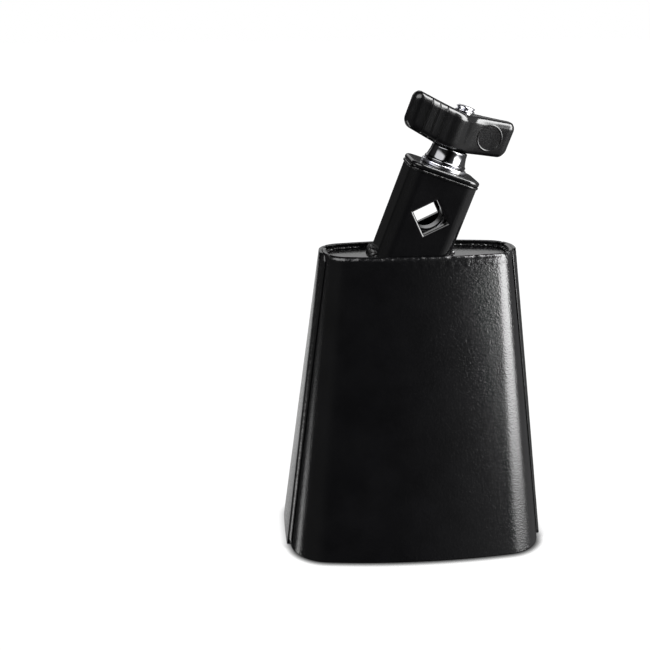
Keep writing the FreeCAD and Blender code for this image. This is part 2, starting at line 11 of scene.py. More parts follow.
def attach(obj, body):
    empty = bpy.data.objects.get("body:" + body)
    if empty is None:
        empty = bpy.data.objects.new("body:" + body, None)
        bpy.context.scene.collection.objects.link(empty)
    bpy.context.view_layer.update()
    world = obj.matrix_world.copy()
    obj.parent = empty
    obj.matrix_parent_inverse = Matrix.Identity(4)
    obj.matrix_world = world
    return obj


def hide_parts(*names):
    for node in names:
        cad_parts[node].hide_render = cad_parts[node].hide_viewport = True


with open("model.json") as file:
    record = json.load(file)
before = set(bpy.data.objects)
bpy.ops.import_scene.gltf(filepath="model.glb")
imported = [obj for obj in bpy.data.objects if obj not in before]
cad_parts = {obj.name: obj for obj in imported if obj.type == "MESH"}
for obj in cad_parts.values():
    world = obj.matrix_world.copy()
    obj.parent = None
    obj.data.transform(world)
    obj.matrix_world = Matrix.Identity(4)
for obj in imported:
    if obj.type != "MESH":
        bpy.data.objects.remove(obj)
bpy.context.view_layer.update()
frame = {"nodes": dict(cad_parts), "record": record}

MM = 0.001

# ---------------------------------------------------------------- sizes in millimetres
BELL_HEIGHT = 127.0
MOUTH = (55.8, 31.9, 286.0, 348.0, 17.0)     # half width, half depth, radii of faces, sides and corners
RIM = (40.4, 13.9, 175.0, 30.0, 10.0)
SHEET = 1.4
LAP_GAP = 0.15
MOUTH_CLEARANCE = 0.26                       # the sheets' inner edges lean below their outer edges
FRONT_NARROWER = SHEET + LAP_GAP             # the front sheet goes inside the rear one at the sides
REAR_EDGE = (-13.0, -3.5)                    # y of the sheets' side edges at the mouth and at the rim
FRONT_EDGE = (-5.0, 4.5)
SLIT = (8.1, 9.5)                            # relief slits in the rear sheet's rim
SLIT_FOOT = 124.4
RIM_BAND = 3.6                               # the sheets' rows stand closer from here below the slits' foot
SKIN = 0.06                                  # the sheets' plain faces stand at least this far inside the CAD's
EDGE_WANDER = 0.12                           # unevenness of the rear sheet's cut edge
CROWN_TOP = 124.8
SHOULDER = 2.0                               # rounding of the front sheet's rim
HEAT_BORDER = 4.0                            # uneven metal reaches this far below the rim

SEAM_WELD_REACH, SEAM_WELD_RISE = 2.9, 1.38  # along the front sheet, and out from it
CROWN_WELD_REACH, CROWN_WELD_RISE = 1.7, 1.1
CROWN_WELD_STOPS = ((1, "right", 14.2), (-1, "left", 21.6))     # each run ends this far from the middle

TUBE_WIDTH, TUBE_DEPTH, TUBE_LENGTH, TUBE_WALL = 28.4, 23.6, 35.1, 3.0
TUBE_CORNER, TUBE_INNER_CORNER = 5.0, 2.0
DIAMOND_UP, DIAMOND_SIDE = 18.5, 10.4
DIAMOND_ROUND = 0.9                          # rounding of the hole's outer edges
CAP_THICKNESS, CAP_OVERHANG, CAP_HOLE = 2.2, 0.35, 8.7
CAP_ROUND = 1.0                              # rounding of the cap's outer edges
CAP_WELD_REACH, CAP_WELD_DROP = 0.5, 1.0
FOOT_WELD_REACH, FOOT_WELD_RISE = 2.2, 2.4
FOOT_WELD_TURN = math.radians(55)            # the foot's beads run this far round the tube's corners

EYE_OUTER, EYE_INNER, EYE_THICKNESS, EYE_CORNER = 9.7, 6.3, 8.0, 1.5
BOLT_RADIUS, BOLT_TOP, PITCH = 3.97, 62.9, 25.4 / 18
THREAD_DEPTH = 0.74
PLAIN_NECK = 3.5                             # the thread starts this far above the ring's middle line
STUD_CHAMFER = 0.9
STUD_SEGMENTS = 56
WASHER_BOTTOM, WASHER_RADIUS, WASHER_THICKNESS = 37.35, 9.3, 1.6
HUB_BOTTOM, HUB_BASE = 39.0, 8.6
HUB_NECK, HUB_NECK_HEIGHT, HUB_BORE = 7.3, 6.1, 4.02
HUB_JOINT_UP = 43.3                          # the wing nut's joint, this far up the stud's axis

HANDLE_BOTTOM, HANDLE_HEIGHT, HANDLE_HALF = 45.4, 14.8, 22.8
HANDLE_SWEEP = math.radians(11)
WING_RISE_TOP, WING_RISE_BOTTOM, WING_ROOT = 2.8, 3.0, 6.8
WING_EDGE = 2.7                              # rounding along the wings' edges
WING_END = 3.1                               # rounding of the wings' ends, from above
WING_CORNER = 3.0                            # and from the side
WING_CURVE = 1.25                            # how late the wings' tops rise towards their tips
# how far the front face stands from the stud's axis, from the left tip to the right tip; the back is the
# front turned by half a turn
FACE_STATIONS = (-24, -17, -11, -7, -3.5, -1, 1, 3, 5, 8, 14, 24)
FACE_REACH = (3.6, 4.5, 5.8, 7.0, 7.7, 7.5, 6.4, 4.6, 3.4, 3.0, 3.0, 3.5)
TEETH = (-16.2, -13.0, -9.8, -6.6)           # grip teeth on the left wing's front, end to end
TOOTH_HEIGHT = 0.5
TOOTH_STEP = 0.3
RING_AT, RING_UP, RING_RADIUS, RING_LINE = 13.0, 54.2, 5.1, 0.42
RING_PROUD = 0.45 * RING_LINE

joints = {joint["name"]: joint for joint in frame["record"]["behaviour"]["joints"]}
AXIS = np.array(joints["wing_nut_turn"]["axis"])
ACROSS = np.array((AXIS[2], 0.0, -AXIS[0]))
DEPTH = np.array((0.0, 1.0, 0.0))
FOOT = np.array(joints["wing_nut_turn"]["pos_m"]) / MM - HUB_JOINT_UP * AXIS
LEAN = math.atan2(AXIS[0], AXIS[2])


# ---------------------------------------------------------------- mesh helpers
def bracket(across, depth, along):
    """Points in the leaning bracket's frame: across it, from front to back, and along the stud."""
    across, depth, along = np.broadcast_arrays(across, depth, along)
    return FOOT + across[..., None] * ACROSS + depth[..., None] * DEPTH + along[..., None] * AXIS


def waves(position, length, seed):
    """Smooth irregular variation between about -1 and 1, with features of the given length."""
    rng = np.random.default_rng(seed)
    total = 0.0
    for step in (1.0, 0.61, 1.7, 0.43):
        total = total + np.sin(position * 2 * math.pi / (length * step) + rng.uniform(0, 2 * math.pi))
    return total / 2.6


class Surface:
    """Collects grids of points as quads, to be welded into one mesh."""

    def __init__(self):
        self.points, self.faces, self.count = [], [], 0

    def grid(self, points, wrap_rows=False, wrap_columns=False, skip=None):
        rows, columns = points.shape[:2]
        self.points.append(points.reshape(-1, 3))
        for i in range(rows if wrap_rows else rows - 1):
            for j in range(columns if wrap_columns else columns - 1):
                if skip is not None and skip(i, j):
                    continue
                k, m = (i + 1) % rows, (j + 1) % columns
                corners = (i * columns + j, i * columns + m, k * columns + m, k * columns + j)
                self.faces.append([self.count + c for c in corners])
        self.count += rows * columns

    def fan(self, loop):
        """Closes a loop of points with triangles to its middle."""
        self.points.append(np.vstack([loop, loop.mean(axis=0)[None]]))
        n = len(loop)
        self.faces += [[self.count + i, self.count + (i + 1) % n, self.count + n] for i in range(n)]
        self.count += n + 1

    def mesh(self, name, closed=True):
        """Welds the grids and shades them smooth; a closed surface gets its normals turned outwards."""
        mesh = bpy.data.meshes.new(name)
        mesh.from_pydata((np.vstack(self.points) * MM).tolist(), [], self.faces)
        work = bmesh.new()
        work.from_mesh(mesh)
        bmesh.ops.remove_doubles(work, verts=work.verts, dist=2e-6)
        bmesh.ops.dissolve_degenerate(work, edges=work.edges, dist=1e-7)
        if closed:
            bmesh.ops.recalc_face_normals(work, faces=work.faces)
        for face in work.faces:
            face.smooth = True
        work.to_mesh(mesh)
        work.free()
        return mesh


def add_piece(name, mesh, body, material, replaced=None):
    """Puts a mesh in the scene, riding on its body and standing for its CAD node."""
    piece = bpy.data.objects.new(name, mesh)
    bpy.context.collection.objects.link(piece)
    mesh.materials.append(material)
    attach(piece, body)
    if replaced:
        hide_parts(replaced)
    return piece


def soften(piece, width, segments=3, angle=35):
    """Rounds the hard edges and keeps the flats flat."""
    bevel = piece.modifiers.new("edges", "BEVEL")
    bevel.width, bevel.segments = width * MM, segments
    bevel.limit_method, bevel.angle_limit = "ANGLE", math.radians(angle)
    flats = piece.modifiers.new("flats", "WEIGHTED_NORMAL")
    flats.keep_sharp = False


def turned(profile, segments=96):
    """Surface of revolution about the stud's axis from (radius, height) points."""
    radius, height = np.array(profile, dtype=float).T
    turn = np.linspace(0, 2 * math.pi, segments, endpoint=False)
    points = bracket(radius[:, None] * np.cos(turn), radius[:, None] * np.sin(turn), height[:, None])
    surface = Surface()
    surface.grid(points, wrap_rows=True, wrap_columns=True)
    return surface


def rounded_corner(radius, height, round_radius, first, last, steps=6):
    """Profile points of a rounding about a centre, from one angle to another in degrees."""
    angles = np.radians(np.linspace(first, last, steps))
    return [(radius + round_radius * math.cos(a), height + round_radius * math.sin(a)) for a in angles]


def rounded_rectangle(half_width, half_depth, corner, per_side=12, per_corner=8):
    """Loop of plan points, anticlockwise from the right side's lower end."""
    loop = []
    for quarter in range(4):
        turn = quarter * math.pi / 2
        along, reach = (half_width, half_depth) if quarter % 2 == 0 else (half_depth, half_width)
        side = np.linspace(-(reach - corner), reach - corner, per_side, endpoint=False)
        local = [(along, s) for s in side]
        for a in np.linspace(0, math.pi / 2, per_corner, endpoint=False):
            local.append((along - corner + corner * math.cos(a), reach - corner + corner * math.sin(a)))
        cos, sin = math.cos(turn), math.sin(turn)
        loop += [(x * cos - y * sin, x * sin + y * cos) for x, y in local]
    return np.array(loop)


def fillet_bead(name, corner, first, second, reach, rise, closed, seed, pitch=1.5, fullness=0.8, ripple=0.2):
    """Weld bead in the corner along a path; first and second are unit directions along the two joined faces.

    Its skin is a row of overlapping crescents, pitch apart, that lag in the middle of the bead.
    """
    steps = np.linalg.norm(np.diff(corner, axis=0, append=corner[:1]), axis=1)
    travelled = np.concatenate([[0.0], np.cumsum(steps)[:-1]])
    length = travelled[-1] + (steps[-1] if closed else 0.0)
    if closed:
        pitch = length / round(length / pitch)
    turn = np.linspace(0, math.pi / 2, 9)
    sweep = np.sin(2 * turn)
    crescents = np.abs(np.sin(math.pi * (travelled[:, None] / pitch + 0.45 * sweep)))
    uneven = waves(travelled, 5.3, seed)[:, None]
    size = 1.0 - 0.8 * ripple + ripple * crescents * sweep + 0.5 * ripple * uneven
    if closed:
        blend = np.clip((length - travelled) / 6.0, 0, 1)[:, None]
        size = size * blend + size[:1] * (1 - blend)
    else:
        ends = np.minimum(travelled, length - travelled) / reach
        size = size * np.sqrt(np.clip(ends, 0.02, 1))[:, None]
    wander = 1 + 0.6 * ripple * waves(travelled, 3.7, seed + 1)[:, None]
    along_first = reach * size * wander * np.cos(turn) ** fullness
    along_second = rise * size * np.sin(turn) ** fullness
    skin = (corner[:, None] + along_first[..., None] * first[:, None]
            + along_second[..., None] * second[:, None])
    root = corner - 0.35 * first - 0.1 * second
    surface = Surface()
    loops = np.concatenate([skin, root[:, None]], axis=1)
    surface.grid(loops, wrap_rows=closed, wrap_columns=True)
    if not closed:
        surface.fan(loops[0])
        surface.fan(loops[-1])
    return surface.mesh(name)


# ---------------------------------------------------------------- bell
def outline(quarter, sizes):
    """Plan points of the oval: quarter goes 0-1 along a side, 1-2 round a corner, 2-3 to a face's middle."""
    half_width, half_depth, face, side, corner = sizes
    face_centre = np.array((0.0, half_depth - face))
    side_centre = np.array((half_width - side, 0.0))
    across = side_centre - face_centre
    distance = math.hypot(*across)
    across /= distance
    run = ((face - corner) ** 2 - (side - corner) ** 2 + distance ** 2) / (2 * distance)
    rise = math.sqrt((face - corner) ** 2 - run ** 2)
    normal = np.array((-across[1], across[0]))
    corner_centre = max((face_centre + run * across + k * rise * normal for k in (-1, 1)), key=sum)
    face_turn = math.atan2(*(corner_centre - face_centre)[::-1])
    side_turn = math.atan2(*(corner_centre - side_centre)[::-1])
    q = np.abs(quarter)
    pieces = [q <= 1, q <= 2, q > 2]
    turn = np.select(pieces, [side_turn * q, side_turn + (face_turn - side_turn) * (q - 1),
                              face_turn + (math.pi / 2 - face_turn) * (q - 2)])
    radius = np.select(pieces, [side, corner, face])
    x = np.select(pieces, [side_centre[0], corner_centre[0], face_centre[0]]) + radius * np.cos(turn)
    y = np.select(pieces, [side_centre[1], corner_centre[1], face_centre[1]]) + radius * np.sin(turn)
    return np.stack([x, np.sign(quarter) * y], axis=-1)


def narrowed(sizes, inset, side_inset):
    """The oval moved inwards, and its sides by a further amount."""
    return (sizes[0] - inset - side_inset,) + tuple(size - inset for size in sizes[1:])


def bell_point(quarter, height, inset=0.0, side_inset=0.0):
    """Point of the bell's ruled wall on its right half; a negative quarter is on the front."""
    low = outline(quarter, narrowed(MOUTH, inset, side_inset))
    high = outline(quarter, narrowed(RIM, inset, side_inset))
    share = np.broadcast_to(height / BELL_HEIGHT, np.shape(quarter))[..., None]
    plan = low * (1 - share) + high * share
    return np.concatenate([plan, np.broadcast_to(height, np.shape(quarter))[..., None]], axis=-1)


def quarter_at(y, height, side_inset=0.0):
    """Where on the side a horizontal line at this y meets the wall."""
    tries = np.linspace(-1.8, 1.8, 1441)
    tries = tries[np.abs(tries) > 1e-9]
    return np.interp(y, bell_point(tries, height, 0.0, side_inset)[:, 1], tries)


def edge_y(edge, height):
    """Where a sheet's side edge, which runs straight from mouth to rim, stands at this height."""
    return edge[0] + (edge[1] - edge[0]) * height / BELL_HEIGHT


def shell_heights():
    """Heights of the sheets' rows, closer together towards the slits and the rim."""
    low = np.linspace(MOUTH_CLEARANCE, SLIT_FOOT - RIM_BAND, 70)
    middle = np.linspace(low[-1], SLIT_FOOT, 11)[1:]
    high = np.linspace(SLIT_FOOT, BELL_HEIGHT, 11)[1:]
    return np.concatenate([low, middle, high])


def shell_columns(start, sign, extra=()):
    """Quarters from a sheet's side edge to its face's middle."""
    side = np.linspace(start, sign, 18)
    corner = np.sort(np.concatenate([np.linspace(1, 2, 20), extra]))[1:] * sign
    face = np.linspace(2, 3, 64)[1:] * sign
    return np.concatenate([side, corner, face])


def both_halves(right):
    """Adds the mirror image of a right half whose last column is on the middle line."""
    left = right[:, ::-1].copy() * np.array((-1, 1, 1))
    return np.concatenate([right, left[:, 1:]], axis=1)


def outward(points):
    """Unit normals of a grid of wall points, pointing away from the bell."""
    along = np.gradient(points, axis=1)
    up = np.gradient(points, axis=0)
    normal = np.cross(along, up)
    normal /= np.linalg.norm(normal, axis=-1, keepdims=True)
    facing = np.sum(normal * (points * np.array((1, 1, 0))), axis=-1, keepdims=True)
    return normal * np.sign(facing)


def shell_dents(points, seed):
    """Slight unevenness of formed sheet."""
    x, z = points[..., 0], points[..., 2]
    return 0.02 * waves(x + 0.4 * z, 67.0, seed) + 0.02 * waves(z - 0.3 * x, 91.0, seed + 1)


def rear_shell(material):
    """Rear sheet, with an uneven cut edge and a relief slit in its rim at both sides."""
    heights = shell_heights()
    tries = np.linspace(0.5, 2.5, 900)
    slit = np.interp(SLIT, bell_point(tries, BELL_HEIGHT)[:, 1], tries)
    rows = []
    for height in heights:
        edge = edge_y(REAR_EDGE, height) + EDGE_WANDER * waves(height, 9.0, 3)
        rows.append(bell_point(shell_columns(quarter_at(edge, height), 1, slit), height))
    columns = shell_columns(0, 1, slit)
    points = both_halves(np.array(rows))
    normals = outward(points)
    points = points - normals * (SKIN + np.abs(shell_dents(points, 11)))[..., None]
    count = points.shape[1]
    first_slit = int(np.argmin(np.abs(columns - slit[0])))
    slit_row = int(np.argmin(np.abs(heights - SLIT_FOOT)))

    def in_slit(i, j):
        return i >= slit_row and j in (first_slit, count - 2 - first_slit)

    surface = Surface()
    surface.grid(points, skip=in_slit)
    sheet_piece("rear_shell_sheet", surface, "rear_shell", material)


def front_rim(points):
    """How far the front rim stands out: a round shoulder, with a narrow band of uneven metal under it."""
    x, y, z = points[..., 0], points[..., 1], points[..., 2]
    in_front = np.clip((-y - 5.5) / 3.0, 0, 1)       # fades out round the corners
    rise = np.clip(z - (BELL_HEIGHT - SHOULDER + 0.15 * waves(x, 8.0, 20)), 0, SHOULDER)
    shoulder = SHOULDER - np.sqrt(np.clip(SHOULDER ** 2 - (0.93 * rise) ** 2, 0, None))
    border = BELL_HEIGHT - HEAT_BORDER + 0.5 * waves(x, 3.6, 21) + 0.35 * waves(x, 11.0, 22)
    heated = np.clip((z - border) / 0.5, 0, 1)
    lumps = 0.025 * waves(x + 0.6 * z, 3.3, 23) * waves(z * 2.1 - 0.3 * x, 3.4, 24) + 0.03 * waves(x, 8.7, 25)
    return in_front * (heated * (SKIN + lumps) - shoulder)


def front_shell(material):
    """Front sheet, whose sides go inside the rear one's."""
    rows = []
    for height in shell_heights():
        start = quarter_at(edge_y(FRONT_EDGE, height), height, FRONT_NARROWER)
        rows.append(bell_point(shell_columns(start, -1), height, 0.0, FRONT_NARROWER))
    points = both_halves(np.array(rows))
    normals = outward(points)
    points = points + normals * (front_rim(points) - SKIN - np.abs(shell_dents(points, 17)))[..., None]
    surface = Surface()
    surface.grid(points)
    sheet_piece("front_shell_sheet", surface, "front_shell", material)


def sheet_piece(name, surface, node, material):
    """Gives a sheet's outer face its thickness and softened edges."""
    mesh = surface.mesh(name, closed=False)
    faces_inwards = sum(face.normal.dot(face.center) * face.area for face in mesh.polygons) < 0
    if faces_inwards:
        mesh.flip_normals()
    piece = add_piece(name, mesh, "bell", material, node)
    thick = piece.modifiers.new("sheet", "SOLIDIFY")
    thick.thickness, thick.offset, thick.use_even_offset = SHEET * MM, -1.0, True
    soften(piece, width=0.35)


def seam_weld(side, name, node, material):
    """Weld along the rear sheet's cut edge, on the front sheet."""
    heights = np.linspace(0.3, BELL_HEIGHT - 0.3, 420)
    corner, ahead = [], []
    for height in heights:
        y = edge_y(REAR_EDGE, height)
        pair = quarter_at(np.array((y, y - 1.0)), height, FRONT_NARROWER)
        here, further = bell_point(pair, height, 0.0, FRONT_NARROWER)
        corner.append(here)
        ahead.append((further - here) / np.linalg.norm(further - here))
    corner, ahead = np.array(corner), np.array(ahead)
    out = np.cross(ahead, np.array((0.0, 0.0, 1.0)))
    out *= np.sign(out[:, :1])
    corner = corner + 0.05 * ahead
    mirror = np.array((side, 1, 1))
    mesh = fillet_bead(name, corner * mirror, ahead * mirror, out * mirror, SEAM_WELD_REACH, SEAM_WELD_RISE,
                       closed=False, seed=31 + side, pitch=2.3, fullness=1.6, ripple=0.01)
    add_piece(name, mesh, "bell", material, node)


def crown_weld(material):
    """Two runs of weld between the crown plate and the wall, stopped at the bracket."""
    tries = np.linspace(-2.999, 2.999, 3000)
    wall = bell_point(tries, CROWN_TOP, SHEET, FRONT_NARROWER)
    for side, side_name, stop in CROWN_WELD_STOPS:
        q = tries[wall[:, 0] > stop]
        path = bell_point(np.linspace(q[0], q[-1], 260), CROWN_TOP, SHEET, FRONT_NARROWER)
        tangent = np.gradient(path, axis=0)
        inward = np.cross(np.array((0.0, 0.0, 1.0)), tangent)
        inward /= np.linalg.norm(inward, axis=1, keepdims=True)
        inward *= -np.sign(np.sum(inward * (path - np.array((20, 0, CROWN_TOP))), axis=1, keepdims=True))
        up = np.tile((0.0, 0.0, 1.0), (len(path), 1))
        mirror = np.array((side, 1, 1))
        name = "crown_weld_" + side_name
        mesh = fillet_bead(name, path * mirror, inward * mirror, up, CROWN_WELD_REACH, CROWN_WELD_RISE,
                           closed=False, seed=41 + side, pitch=2.6, fullness=1.1, ripple=0.22)
        add_piece(name, mesh, "bell", material, "crown_weld" if side > 0 else None)


# ---------------------------------------------------------------- bracket
def foot_height(across):
    """The tube's foot is level, so it runs at a slant in the leaning frame."""
    return across * math.tan(LEAN)


def up_the_tube(across, share):
    """Distance along the stud's axis, as a share of the way from the tube's slanting foot to its top."""
    low = foot_height(across)
    return low + (TUBE_LENGTH - low) * share


def front_corner(half_width, half_depth, corner, turn):
    """Plan points of the tube's front right corner."""
    x = half_width - corner + corner * np.cos(turn)
    y = -half_depth + corner + corner * np.sin(turn)
    return np.stack([x, y], -1)


def tube_walls(half_width, half_depth, corner, shares):
    """The tube's two sides with their corners, each as a grid from its front edge to its back edge."""
    walls = []
    for sign in (-1, 1):
        ahead = front_corner(half_width, half_depth, corner, np.linspace(-math.pi / 2, 0, 9))
        side_y = np.linspace(-half_depth + corner, half_depth - corner, 9)[1:-1]
        side = np.stack([np.full(len(side_y), half_width), side_y], -1)
        plan = np.concatenate([ahead, side, ahead[::-1] * (1, -1)]) * (sign, 1)
        walls.append(bracket(plan[:, 0], plan[:, 1], up_the_tube(plan[:, 0], shares[:, None])))
    return walls


def tube_face(half_flat, y, count, widened):
    """Flat face with the diamond hole, widened by its rounding: rings from the hole out to the face's edge.

    Hole and edge have 8 * count points each, from the right side's middle, anticlockwise.
    """
    reach = (DIAMOND_SIDE + 2 * widened) / math.sqrt(2)
    diamond = []
    for quarter in range(4):
        start = math.pi / 2 * quarter
        t = np.linspace(0, 1, 2 * count, endpoint=False)
        a, b = np.array((math.cos(start), math.sin(start))), np.array((-math.sin(start), math.cos(start)))
        diamond += list(reach * ((1 - t)[:, None] * a + t[:, None] * b))
    steps = np.linspace(0, 1, count, endpoint=False)
    right = [(half_flat, s) for s in 0.5 + 0.5 * steps]
    top = [(half_flat * (1 - s), 1.0) for s in steps]
    quarter_up = right + top
    edge = quarter_up + [(-x, s) for x, s in [(0.0, 1.0)] + quarter_up[:0:-1]]
    lower = [(-half_flat, s) for s in 0.5 - 0.5 * steps] + [(-half_flat * (1 - s), 0.0) for s in steps]
    edge += lower + [(-x, s) for x, s in [(0.0, 0.0)] + lower[:0:-1]]
    edge = np.array(edge)
    outer = np.stack([edge[:, 0], up_the_tube(edge[:, 0], edge[:, 1])], -1)
    inner = np.array(diamond) + np.array((0, DIAMOND_UP))
    rings = np.array([0, 0.06, 0.14, 0.26, 0.42, 0.6, 0.8, 1.0])[:, None, None]
    plan = inner * (1 - rings) + outer * rings
    return bracket(plan[..., 0], np.full(plan.shape[:2], y), plan[..., 1])


def diamond_rounding(wide, hole, sign):
    """Rows from a face's hole round its outer edge and on to the hole inside."""
    rows = []
    for turn in np.linspace(0, math.pi / 2, 7):
        row = wide + (hole - wide) * math.sin(turn)
        row[:, 1] = sign * (TUBE_DEPTH / 2 - DIAMOND_ROUND * (1 - math.cos(turn)))
        rows.append(row)
    return np.stack(rows + [hole])


def bracket_tube(material):
    """Leaning tube: outer and inner skins, the rims that join them, and two diamond holes."""
    count = 8
    top_edge, foot_edge = slice(count, 3 * count + 1), slice(5 * count, 7 * count + 1)
    surface = Surface()
    faces, walls = {}, {}
    for inset, corner, widened in ((0.0, TUBE_CORNER, DIAMOND_ROUND), (TUBE_WALL, TUBE_INNER_CORNER, 0.0)):
        half_width, half_depth = TUBE_WIDTH / 2 - inset, TUBE_DEPTH / 2 - inset
        walls[inset] = tube_walls(half_width, half_depth, corner, np.linspace(0, 1, 2 * count + 1))
        for wall in walls[inset]:
            surface.grid(wall)
        for sign in (-1, 1):
            faces[inset, sign] = tube_face(half_width - corner, sign * half_depth, count, widened)
            surface.grid(faces[inset, sign], wrap_columns=True)
    for sign in (-1, 1):
        outer, inner = faces[0.0, sign], faces[TUBE_WALL, sign]
        surface.grid(diamond_rounding(outer[0], inner[0], sign), wrap_columns=True)
        for rim in (foot_edge, top_edge):
            surface.grid(np.stack([outer[-1][rim], inner[-1][rim]]))
    for row in (0, -1):
        for outer, inner in zip(walls[0.0], walls[TUBE_WALL]):
            surface.grid(np.stack([outer[row], inner[row]]))
    piece = add_piece("bracket_tube_wall", surface.mesh("bracket_tube_wall"), "bell", material,
                      "bracket_tube")
    soften(piece, width=0.45)


def bracket_cap(material):
    """Cap plate with rounded edges and the stud's hole."""
    half_width, half_depth = TUBE_WIDTH / 2 + CAP_OVERHANG, TUBE_DEPTH / 2 + CAP_OVERHANG
    corner = TUBE_CORNER + CAP_OVERHANG
    plan = rounded_rectangle(half_width, half_depth, corner)
    flat = rounded_rectangle(half_width - CAP_ROUND, half_depth - CAP_ROUND, corner - CAP_ROUND)
    turn = np.arctan2(plan[:, 1], plan[:, 0])
    hole = CAP_HOLE / 2 * np.stack([np.cos(turn), np.sin(turn)], -1)
    low, high = TUBE_LENGTH, TUBE_LENGTH + CAP_THICKNESS
    rows = []
    for share in np.linspace(0, 1, 5):
        rows.append((hole * (1 - share) + flat * share, low))
    for angle in np.radians(np.linspace(-90, 90, 13))[1:-1]:
        grown = flat + (plan - flat) * math.cos(angle)
        middle = low + CAP_ROUND if angle < 0 else high - CAP_ROUND
        rows.append((grown, middle + CAP_ROUND * math.sin(angle)))
    for share in np.linspace(1, 0, 5):
        rows.append((hole * (1 - share) + flat * share, high))
    points = np.array([bracket(p[:, 0], p[:, 1], np.full(len(p), height)) for p, height in rows])
    surface = Surface()
    surface.grid(points, wrap_rows=True, wrap_columns=True)
    piece = add_piece("bracket_cap_plate", surface.mesh("bracket_cap_plate"), "bell", material,
                      "bracket_cap")
    soften(piece, width=0.25, segments=2, angle=50)


def cap_weld(material):
    """Thin bead all round under the cap's edge."""
    loop = rounded_rectangle(TUBE_WIDTH / 2, TUBE_DEPTH / 2, TUBE_CORNER, 60, 16)
    wider = rounded_rectangle(TUBE_WIDTH / 2 + 1, TUBE_DEPTH / 2 + 1, TUBE_CORNER + 1, 60, 16)
    out = wider - loop
    out /= np.linalg.norm(out, axis=1, keepdims=True)
    corner = bracket(loop[:, 0], loop[:, 1], np.full(len(loop), TUBE_LENGTH))
    outwards = out[:, :1] * ACROSS + out[:, 1:] * DEPTH
    down = np.tile(-AXIS, (len(loop), 1))
    mesh = fillet_bead("cap_weld_bead", corner, outwards, down, CAP_WELD_REACH, CAP_WELD_DROP,
                       closed=True, seed=61, pitch=1.25)
    add_piece("cap_weld_bead", mesh, "bell", material, "cap_weld")


def foot_weld(side, name, node, material):
    """Bead where a side of the tube stands on the crown, running a little round the tube's corners."""
    half_width, half_depth = TUBE_WIDTH / 2, TUBE_DEPTH / 2
    turn = np.linspace(-FOOT_WELD_TURN, 0, 24)
    ahead = front_corner(half_width, half_depth, TUBE_CORNER, turn)
    side_y = np.linspace(-half_depth + TUBE_CORNER, half_depth - TUBE_CORNER, 110)
    straight = np.stack([np.full(len(side_y), half_width), side_y], -1)
    plan = np.concatenate([ahead[:-1], straight, ahead[-2::-1] * (1, -1)]) * (side, 1)
    facing = np.stack([np.cos(turn), np.sin(turn)], -1)
    sideways = np.tile((1.0, 0.0), (len(side_y), 1))
    normal = np.concatenate([facing[:-1], sideways, facing[-2::-1] * (1, -1)]) * (side, 1)
    corner = bracket(plan[:, 0], plan[:, 1], foot_height(plan[:, 0]))
    out = np.concatenate([normal, np.zeros((len(normal), 1))], axis=1)
    up = np.tile(AXIS, (len(plan), 1))
    mesh = fillet_bead(name, corner, out, up, FOOT_WELD_REACH, FOOT_WELD_RISE,
                       closed=False, seed=71 + side, pitch=2.1)
    add_piece(name, mesh, "bell", material, node)


# ---------------------------------------------------------------- eye bolt, washer and wing nut
def eye_ring(material):
    """Ring of the eye bolt, of rounded rectangular section."""
    surface = Surface()
    section = rounded_rectangle((EYE_OUTER - EYE_INNER) / 2, EYE_THICKNESS / 2, EYE_CORNER, 8, 6)
    middle = (EYE_OUTER + EYE_INNER) / 2
    turn = np.linspace(0, 2 * math.pi, 120, endpoint=False)[:, None]
    radius = middle + section[:, 0]
    surface.grid(bracket(radius * np.sin(turn), section[:, 1] + 0 * turn, DIAMOND_UP + radius * np.cos(turn)),
                 wrap_rows=True, wrap_columns=True)
    add_piece("eye_ring", surface.mesh("eye_ring"), "eye_bolt", material, "eye_bolt")


def threaded_stud(material):
    """Stud of the eye bolt: a right-hand thread that fades out towards the ring, and a chamfered flat end."""
    start = DIAMOND_UP + (EYE_OUTER + EYE_INNER) / 2
    thread_start = start + PLAIN_NECK
    along = np.arange(start, BOLT_TOP + 1e-6, PITCH / 10)
    around = np.linspace(0, 2 * math.pi, STUD_SEGMENTS, endpoint=False)
    # flat crests and roots, with straight flanks between them
    phase = (along[:, None] / PITCH - around / (2 * math.pi)) % 1.0
    flank = np.clip(np.abs(phase - 0.5) * 2 * 1.25 - 0.08, 0, 1)
    fade = np.clip((along - thread_start) / 2.0, 0, 1)[:, None]
    radius = BOLT_RADIUS - 0.02 - THREAD_DEPTH * flank * fade
    chamfer = BOLT_RADIUS - STUD_CHAMFER + np.sqrt(np.clip(BOLT_TOP - along, 0, 1.0)) * STUD_CHAMFER
    radius = np.minimum(radius, chamfer[:, None])
    points = bracket(radius * np.cos(around), radius * np.sin(around), along[:, None])
    stud = Surface()
    stud.grid(points, wrap_columns=True)
    stud.fan(points[0])
    top = np.full(STUD_SEGMENTS, BOLT_TOP)
    end = [bracket(r * np.cos(around), r * np.sin(around), top) for r in (2.0, 0.8)]
    stud.grid(np.array([points[-1]] + end), wrap_columns=True)
    stud.fan(end[-1])
    add_piece("eye_bolt_stud", stud.mesh("eye_bolt_stud"), "eye_bolt", material)


def flat_washer(material):
    """Stamped washer, rounder at its upper outer edge."""
    small, edge, bore, flat = 0.3, 0.45, CAP_HOLE / 2, 6.5
    low, high = WASHER_BOTTOM, WASHER_BOTTOM + WASHER_THICKNESS
    profile = (rounded_corner(bore + small, low + small, small, 180, 270, 4) + [(flat, low)]
               + rounded_corner(WASHER_RADIUS - small, low + small, small, -90, 0, 4)
               + rounded_corner(WASHER_RADIUS - edge, high - edge, edge, 0, 90, 6) + [(flat, high)]
               + rounded_corner(bore + small, high - small, small, 90, 180, 4))
    add_piece("flat_washer_ring", turned(profile).mesh("flat_washer_ring"), "washer", material,
              "flat_washer")


